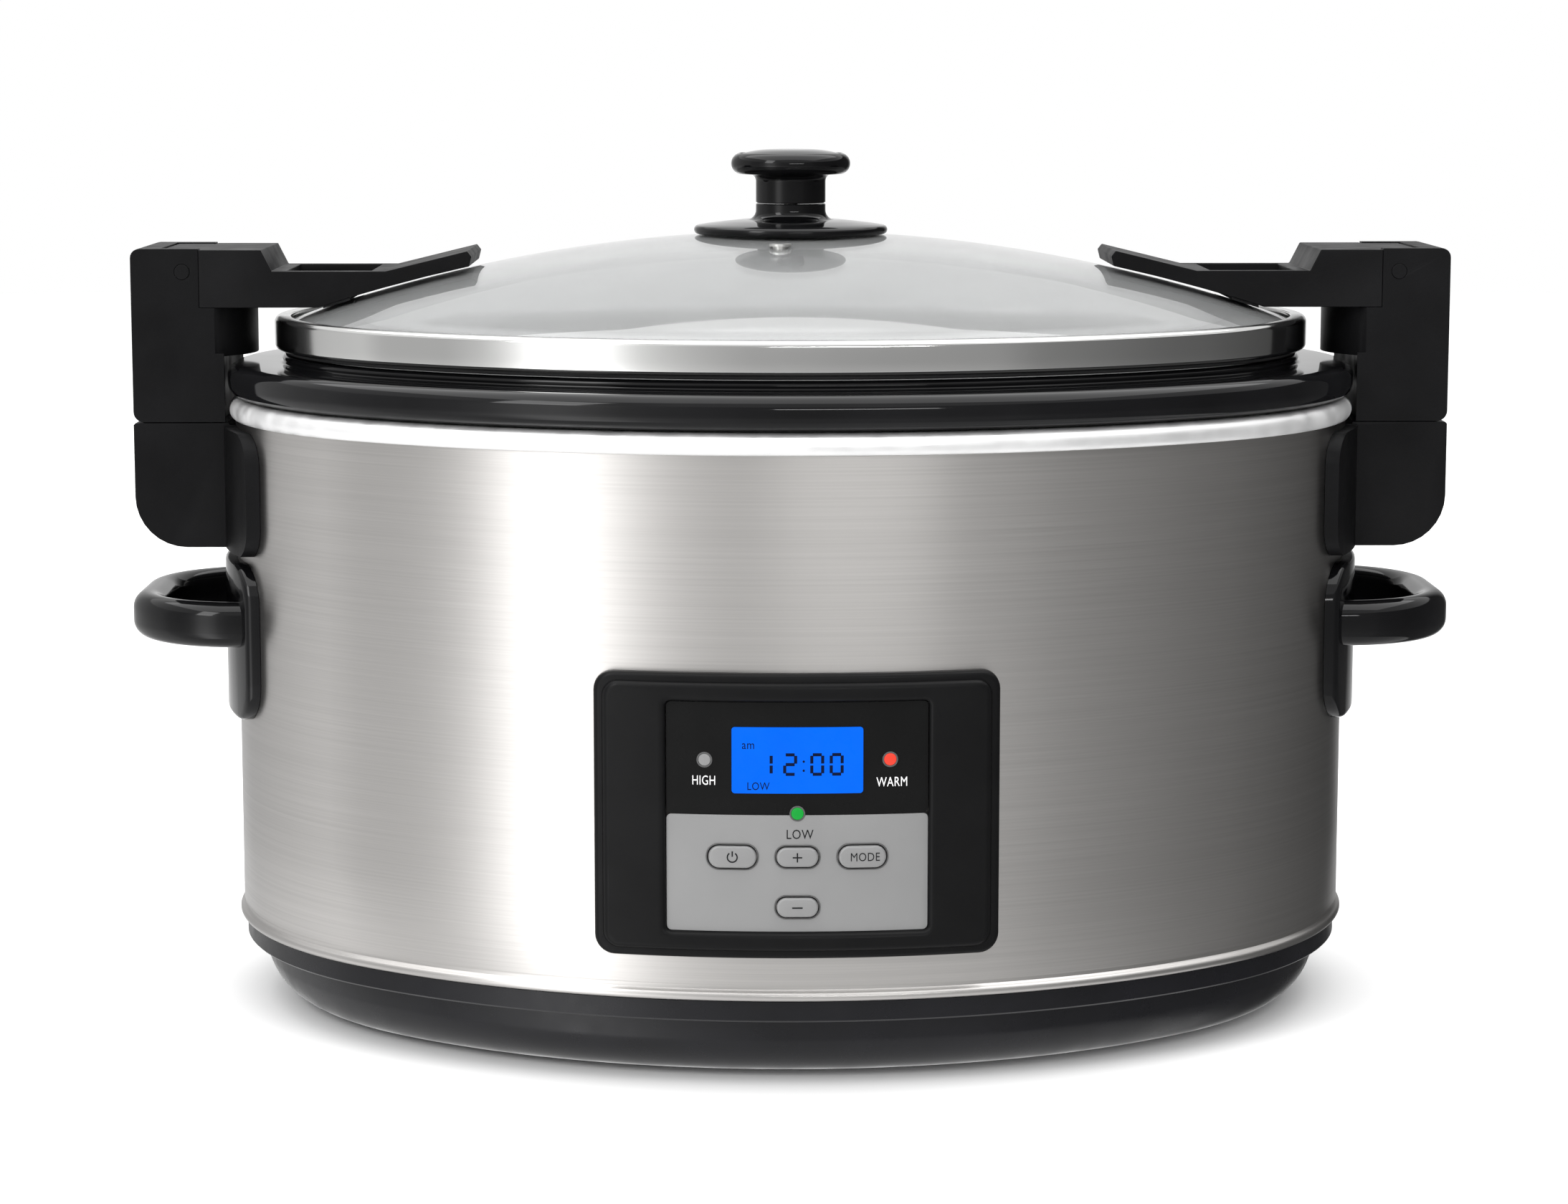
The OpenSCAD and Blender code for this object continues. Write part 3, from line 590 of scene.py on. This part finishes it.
ring_piece(
    "lid_band.rolled",
    [(-16, 218.6)]
    + arc(-15.1, 220.1, 1.5, -90, 0, 6)
    + arc(-15.6, 227.4, 2.0, 0, 90, 8)
    + arc(-18.6, 229.0, 0.4, 90, 180, 3)
    + [(-19, 228.3), (-14.9, 228.3), (-14.9, 219.8), (-16, 219.8)],
    "polished_steel", "lid", ("lid_band",), 40,
)
ring_piece(
    "lid_gasket.seal",
    [(-21.2, 217.4), (-17.0, 217.4)] + arc(-17.0, 218.2, 0.8, -90, 0, 3) + arc(-17.0, 221.6, 0.8, 0, 90, 3)
    + arc(-21.2, 221.6, 0.8, 90, 180, 3) + arc(-21.2, 218.2, 0.8, 180, 255, 3),
    "rubber", "lid", ("lid_gasket",), 50,
)
turned_piece(
    "knob_base.flange",
    [(3.4, 256.7), (29, 255.8)]
    + arc(31, 257.3, 1.5, -90, 75, 10)
    + [(28, 259.3), (22, 260.0), (17, 260.5)]
    + arc(15.0, 263.8, 3.3, -90, -180, 8)
    + [(11.7, 265.7), (11.4, 266), (3.4, 266)],
    "gloss_black", "lid", ("knob_base",),
)
turned_piece(
    "knob_cap.turned",
    [(0, 266.2), (11.4, 266.2), (11.7, 266.5), (11.7, 273.0)]
    + arc(14.2, 273.4, 2.5, 180, 110, 6)
    + arc(20 - 3.6, 279.3, 3.6, -75, 75, 14)
    + arc(6, 243.9, 40.1, 74, 90, 6)
    + [(0, 284)],
    "gloss_black", "lid", ("knob_cap",),
)
turned_piece(
    "knob_washer.pressed",
    [(2.4, 248.2), (17.6, 248.2)] + arc(17.6, 249.2, 1.0, -90, 90, 8) + [(12, 250.9), (2.4, 251.6)],
    "gloss_black", "lid", ("knob_washer",),
)

# ---------------------------------------------------------------- control panel

bm = bmesh.new()
recess = rounded_rect(*RECESS_SIZE, 1.5, 4, 0, PANEL_Z)
slab(bm, rounded_rect(*PANEL_SIZE, 6, 8, 0, PANEL_Z), 0.05, 3.3, 1.4, 4, [recess])
bend_to_front(bm)
finish_mesh(bm, "control_bezel.surround", "bezel_plastic", "base", ("control_bezel",), 40)
bm = bmesh.new()
face_outline = rounded_rect(*(size - 5 for size in PANEL_SIZE), 5, 8, 0, PANEL_Z)
slab(bm, face_outline, 2.8, 5.0, 1.9, 5, [recess])
bend_to_front(bm)
finish_mesh(bm, "control_bezel.face", "bezel_plastic", "base", sharp=40)

# Centre across and above the panel's middle, then width and height
BUTTONS = {
    "power": (-19.8, -12.2, 14.6, 6.8),
    "plus": (0.0, -12.2, 12.6, 6.0),
    "minus": (0.0, -27.8, 12.6, 6.0),
    "mode": (19.8, -12.2, 14.4, 6.8),
}
LAMPS = {"led_high": (-28.2, 17.6), "led_low": (0, 1.2), "led_warm": (28.2, 17.6)}
# How far each face stands out of the steel
FASCIA, BUTTON_FACE, WINDOW = 3.2, 4.4, 3.5
for key, (x, z, w, h) in BUTTONS.items():
    z += PANEL_Z
    bm = bmesh.new()
    slab(bm, rounded_rect(w, h, h / 2 - 0.1, 8, x, z), 0.2, BUTTON_FACE, 0.7, 4)
    bend_to_front(bm, 1.5)
    bmesh.ops.create_cone(
        bm, cap_ends=True, segments=20, radius1=1.5 * MM, radius2=1.5 * MM, depth=4.2 * MM,
        matrix=Matrix.Translation(Vector((x, -147.0, z)) * MM) @ Matrix.Rotation(math.pi / 2, 4, "X"),
    )
    finish_mesh(bm, key + "_button.cap", "silver_paint", key + "_key", (key + "_button",), 30)
    front_piece(
        key + "_button_outline", rounded_rect(w + 1.5, h + 1.5, h / 2 + 0.6, 8, x, z),
        FASCIA - 0.2, FASCIA + 0.35, "outline_grey", bevel=0.15,
        holes=[rounded_rect(w + 0.7, h + 0.7, h / 2 + 0.2, 8, x, z)],
    )

for cad_name, (x, z) in LAMPS.items():
    z += PANEL_Z
    bm = bmesh.new()
    slab(bm, rounded_rect(3.7, 3.7, 1.84, 8, x, z), 1.5, FASCIA + 0.4, 0.35, 4)
    bend_to_front(bm, 0.8)
    finish_mesh(bm, cad_name + ".lens", SLOT_OF[cad_name], "base", (cad_name,), 40)
    front_piece(
        cad_name + "_bezel", rounded_rect(4.8, 4.8, 2.38, 10, x, z),
        FASCIA - 0.2, FASCIA + 0.2, "outline_grey", bevel=0.12,
        holes=[rounded_rect(3.8, 3.8, 1.88, 10, x, z)],
    )

lettering("word_high", "HIGH", -28.4, PANEL_Z + 11.3, 2.9, FASCIA, "print_white", width=0.7)
lettering("word_warm", "WARM", 28.8, PANEL_Z + 10.7, 2.9, FASCIA, "print_white", width=0.72)
lettering("word_low", "LOW", 0.7, PANEL_Z - 5.2, 2.9, FASCIA, "print_dark")
lettering(
    "word_mode", "MODE", 20.6, PANEL_Z - 12.2, 2.6, BUTTON_FACE, "print_dark", "mode_key"
)
lettering("lcd_am", "am", -14.9, PANEL_Z + 22.0, 1.8, WINDOW, "print_lcd")
lettering("lcd_low", "LOW", -11.9, PANEL_Z + 9.7, 2.4, WINDOW, "print_lcd")

z = BUTTONS["power"][1] + PANEL_Z
x = BUTTONS["power"][0]
print_on_front(
    "power_symbol",
    [stroke(arc(x, z, 1.5, 125, 415, 24), 0.42), stroke([(x, z + 0.2), (x, z + 1.9)], 0.42)],
    BUTTON_FACE, "print_dark", "power_key",
)
z = BUTTONS["plus"][1] + PANEL_Z
print_on_front(
    "plus_symbol",
    [stroke([(-1.45, z), (1.45, z)], 0.42), stroke([(0, z + 0.22), (0, z + 1.45)], 0.42),
     stroke([(0, z - 1.45), (0, z - 0.22)], 0.42)],
    BUTTON_FACE, "print_dark", "plus_key",
)
z = BUTTONS["minus"][1] + PANEL_Z
print_on_front(
    "minus_symbol", [stroke([(-1.6, z), (1.6, z)], 0.45)], BUTTON_FACE, "print_dark", "minus_key",
)


DIGIT_W, DIGIT_H, BAR_THICK, BAR_GAP = 3.3, 6.0, 0.95, 0.3


def digit(cx, cz, lit):
    """Bars of a seven-segment digit; lit names the bars a to g."""
    x0, x1, gap = cx - DIGIT_W / 2, cx + DIGIT_W / 2, BAR_GAP
    half = DIGIT_H / 2
    bars = {
        "a": [(x0 + gap, cz + half), (x1 - gap, cz + half)],
        "b": [(x1, cz + half - gap), (x1, cz + gap)],
        "c": [(x1, cz - gap), (x1, cz - half + gap)],
        "d": [(x0 + gap, cz - half), (x1 - gap, cz - half)],
        "e": [(x0, cz - gap), (x0, cz - half + gap)],
        "f": [(x0, cz + half - gap), (x0, cz + gap)],
        "g": [(x0 + gap, cz), (x1 - gap, cz)],
    }
    return [stroke(bars[s], BAR_THICK) for s in lit]


clock_z = PANEL_Z + 16.4
colon = [rounded_rect(0.7, 0.7, 0.3, 3, 1.9, clock_z + d) for d in (-1.9, 0.9)]
print_on_front(
    "lcd_clock",
    digit(-9.6, clock_z, "bc") + digit(-2.2, clock_z, "abged") + colon
    + digit(6.0, clock_z, "abcdef") + digit(11.9, clock_z, "abcdef"),
    WINDOW, "print_lcd",
)

# ---------------------------------------------------------------- side handles, brackets and clips


def swept_tube(bm, path, section):
    """Sweeps a closed (side, up) section along a path in plan, capped at both ends."""
    rings = []
    for i, p in enumerate(path):
        a, b = path[max(i - 1, 0)], path[min(i + 1, len(path) - 1)]
        d = Vector((b[0] - a[0], b[1] - a[1])).normalized()
        side = Vector((d.y, -d.x))
        rings.append([
            bm.verts.new(Vector((p[0] + side.x * u, p[1] + side.y * u, v)) * MM) for u, v in section
        ])
    n = len(section)
    for a, b in zip(rings, rings[1:]):
        for i in range(n):
            k = (i + 1) % n
            bm.faces.new((a[i], a[k], b[k], b[i]))
    bm.faces.new(rings[0])
    bm.faces.new(rings[-1][::-1])


# Handle loop: centre line of its bends, its outermost run and its height
LOOP_ROOT, LOOP_BEND_X, LOOP_BEND_Y, LOOP_R, LOOP_Z = 177.5, 181.5, 12.4, 34.0, 130
LOOP_HALF, LOOP_OUT = LOOP_BEND_Y + LOOP_R, LOOP_BEND_X + LOOP_R
PLATE_Z, PLATE_SIZE = 124, (112, 52)

for side, sign in (("left", -1), ("right", 1)):
    bm = bmesh.new()
    slab(bm, rounded_rect(*PLATE_SIZE, 13.5, 8, 0, PLATE_Z), 0.1, 4.1, 1.8, 4)
    cut_strips(bm, 0, -54, 56, 3)
    for v in bm.verts:
        v.co = Vector((end_x(v.co.x, -v.co.y), v.co.x, v.co.z)) * MM
    path = (
        [(LOOP_ROOT, -LOOP_HALF)]
        + arc(LOOP_BEND_X, -LOOP_BEND_Y, LOOP_R, -90, 0, 18)
        + [(LOOP_OUT, y) for y in (-6, 0, 6)]
        + arc(LOOP_BEND_X, LOOP_BEND_Y, LOOP_R, 0, 90, 18)
        + [(LOOP_ROOT, LOOP_HALF)]
    )
    section = [(u, v + LOOP_Z) for u, v in rounded_rect(10.9, 15, 5.3, 8)]
    swept_tube(bm, path, section)
    bmesh.ops.scale(bm, vec=(sign, 1, 1), verts=bm.verts)
    finish_mesh(bm, side + "_handle.grip", "gloss_black", "base", (side + "_handle",), 40)

    softened(side + "_lug", 0.9, "base")
    softened(side + "_clip_post", 0.8, side + "_clip")
    softened(side + "_clip_arm", 0.9, side + "_clip")
    softened(side + "_arm_pin", 0.25, side + "_clip", segments=2)

softened("cord_gland", 0.6, "base")
softened("relay", 0.5, "base")
softened("transformer", 0.6, "base")
softened("terminal_block", 0.5, "base")

# ---------------------------------------------------------------- studio

# In metres: the floor ends inside the wall, so that no edge of it shows
FLOOR_R, WALL_R = 4.0, 4.2


def staged(bm, name, material):
    mesh = bpy.data.meshes.new(name)
    bm.to_mesh(mesh)
    bm.free()
    mesh.materials.append(material)
    obj = bpy.data.objects.new(name, mesh)
    bpy.context.scene.collection.objects.link(obj)
    obj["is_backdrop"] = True
    return obj


bm = bmesh.new()
bmesh.ops.create_circle(bm, cap_ends=True, segments=64, radius=FLOOR_R)
floor_finish = surface(
    "studio_floor", (0.9, 0.9, 0.9), 0.8, vary=0.01, patch=2.0, relief=0, Specular_IOR_Level=0.0
)
floor = staged(bm, "studio_floor", floor_finish)
floor.visible_glossy = False

# Curved wall of light round the set. Each stop is a direction in degrees (-90 is left, 0 is in
# front, 90 is right, 180 is behind) and how bright the wall is there.
WALL_LIGHT = [
    (-90, 0.80), (-80, 0.62), (-66, 0.62), (-58, 0.8), (-53, 1.2), (-46, 2.2), (-40, 2.4), (-34, 1.9),
    (-28, 1.1), (-20, 0.74), (-8, 0.56), (14, 0.48), (38, 0.42), (46, 0.3), (58, 0.24), (75, 0.17),
    (100, 0.12), (125, 0.08), (148, 0.05), (162, 0.5), (172, 1.0), (188, 1.0), (198, 0.7), (215, 0.5),
    (235, 0.62), (255, 0.74), (269.9, 0.80),
]
m = bpy.data.materials.new("studio_wall")
m.use_nodes = True
tree = m.node_tree
tree.nodes.clear()
coords = node(tree, "ShaderNodeTexCoord")
around = node(tree, "ShaderNodeTexGradient", gradient_type="RADIAL")
tree.links.new(coords.outputs["Object"], around.inputs["Vector"])
ramp = node(tree, "ShaderNodeValToRGB")
stops = ramp.color_ramp.elements
while len(stops) > 1:
    stops.remove(stops[-1])
for i, (angle, level) in enumerate(WALL_LIGHT):
    turn = (angle + 90) / 360
    stop = stops[0] if i == 0 else stops.new(turn)
    stop.position = turn
    stop.color = (level, level, level, 1)
tree.links.new(around.outputs["Fac"], ramp.inputs["Fac"])
parts = node(tree, "ShaderNodeSeparateXYZ")
tree.links.new(coords.outputs["Object"], parts.inputs["Vector"])
fade = spread(tree, parts.outputs["Z"], 1.45, 0.92, -1.3, -0.3)
glow = node(tree, "ShaderNodeEmission")
tree.links.new(ramp.outputs["Color"], glow.inputs["Color"])
tree.links.new(fade, glow.inputs["Strength"])
out = node(tree, "ShaderNodeOutputMaterial")
tree.links.new(glow.outputs["Emission"], out.inputs["Surface"])
bm = bmesh.new()
bmesh.ops.create_cone(
    bm, cap_ends=False, segments=96, radius1=WALL_R, radius2=WALL_R, depth=6.2,
    matrix=Matrix.Translation((0, 0, -0.9)),
)
wall = staged(bm, "studio_wall", m)
wall.visible_camera = False
wall.visible_diffuse = False

world = bpy.data.worlds.new("studio")
world.use_nodes = True
world.node_tree.nodes["Background"].inputs["Color"].default_value = (1, 1, 1, 1)
world.node_tree.nodes["Background"].inputs["Strength"].default_value = 1.0
bpy.context.scene.world = world
bpy.context.scene.view_settings.view_transform = "Standard"


def softbox(name, place, target, size, power):
    lamp = bpy.data.lights.new(name, "AREA")
    lamp.shape = "RECTANGLE"
    lamp.size, lamp.size_y = size
    lamp.energy = power
    obj = bpy.data.objects.new(name, lamp)
    obj.location = place
    obj.rotation_euler = (Vector(target) - Vector(place)).to_track_quat("-Z", "Y").to_euler()
    obj.visible_camera = False
    bpy.context.scene.collection.objects.link(obj)


softbox("overhead", (0.0, 0.2, 2.4), (0, 0.2, 0), (4.2, 3.6), 95)
softbox("key", (-1.6, -1.6, 1.5), (0, 0, 0.12), (0.7, 1.1), 14)
softbox("front_strip", (0.5, -2.6, 0.75), (0, 0, 0.2), (1.3, 0.12), 7)

# The camera stands in front, a little left of centre, and looks down by 8 degrees
camera = bpy.data.objects.new("camera", bpy.data.cameras.new("camera"))
bpy.context.scene.collection.objects.link(camera)
camera.location = (-0.0179, -1.3, 0.3148)
camera.rotation_euler = (math.radians(90 - 8.06), 0, math.radians(-0.69))
camera.data.sensor_width = 36.0
camera.data.lens = 88.5
camera.data.clip_start, camera.data.clip_end = 0.05, 50
bpy.context.scene.camera = camera

bpy.context.view_layer.update()
low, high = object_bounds()
